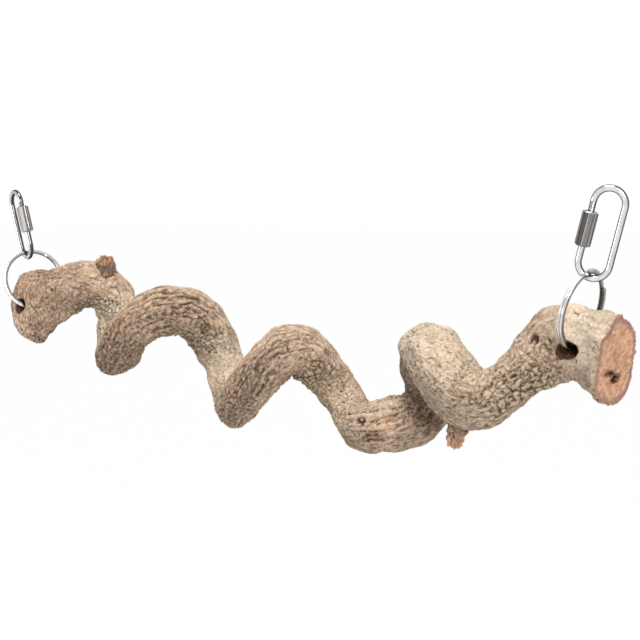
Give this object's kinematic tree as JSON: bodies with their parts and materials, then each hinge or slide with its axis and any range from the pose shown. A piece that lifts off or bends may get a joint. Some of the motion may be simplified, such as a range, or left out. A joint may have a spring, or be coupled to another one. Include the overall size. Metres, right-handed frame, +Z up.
{
  "type": "bird perch",
  "caption": "Corkscrew vine-wood perch for birds, hung at each end by a split ring through a drilled hole and a screw-gate quick link.",
  "frame": {"origin": "seat inside the top bow of the left quick link, where it hangs", "axes": "+X from the left hanger to the right one, +Z up, -Y towards a viewer who has the left hanger on their left"},
  "size_m": [0.3847, 0.0627, 0.123],
  "materials": {
    "bark": "rough",
    "ring_wire": "polished",
    "link_rod": "polished",
    "screw_sleeve": "polished"
  },
  "bodies": {
    "branch": {"branch": "bark"},
    "left_ring": {"left_split_ring": "ring_wire"},
    "left_link": {"left_link": "link_rod"},
    "left_sleeve": {"left_link_sleeve": "screw_sleeve"},
    "right_ring": {"right_split_ring": "ring_wire"},
    "right_link": {"right_link": "link_rod"},
    "right_sleeve": {"right_link_sleeve": "screw_sleeve"}
  },
  "joints": [
    {"name": "left_ring_swing", "type": "hinge", "parent": "branch", "child": "left_ring", "pos_m": [0.01483, 0.00244, -0.06108], "axis": [0.4367, 0.8954, 0.0872], "range_deg": [-32, 32]},
    {"name": "left_link_swing", "type": "hinge", "parent": "left_ring", "child": "left_link", "pos_m": [0.00728, 0.00236, -0.03202], "axis": [0.2898, 0.9478, 0.1332], "range_deg": [-104, 82]},
    {"name": "left_sleeve_slide", "type": "slide", "parent": "left_link", "child": "left_sleeve", "axis": [0.2244, 0.068, -0.9721], "range_m": [0, 0.007]},
    {"name": "right_ring_swing", "type": "hinge", "parent": "branch", "child": "right_ring", "pos_m": [0.35594, -0.00636, -0.05978], "axis": [0.1271, 0.9047, 0.4067], "range_deg": [-26, 32]},
    {"name": "right_link_swing", "type": "hinge", "parent": "right_ring", "child": "right_link", "pos_m": [0.36304, -0.0121, -0.03197], "axis": [-0.2739, 0.9552, 0.1119], "range_deg": [-104, 82]},
    {"name": "right_sleeve_slide", "type": "slide", "parent": "right_link", "child": "right_sleeve", "axis": [-0.2755, 0.0335, -0.9607], "range_m": [0, 0.0054]}
  ]
}
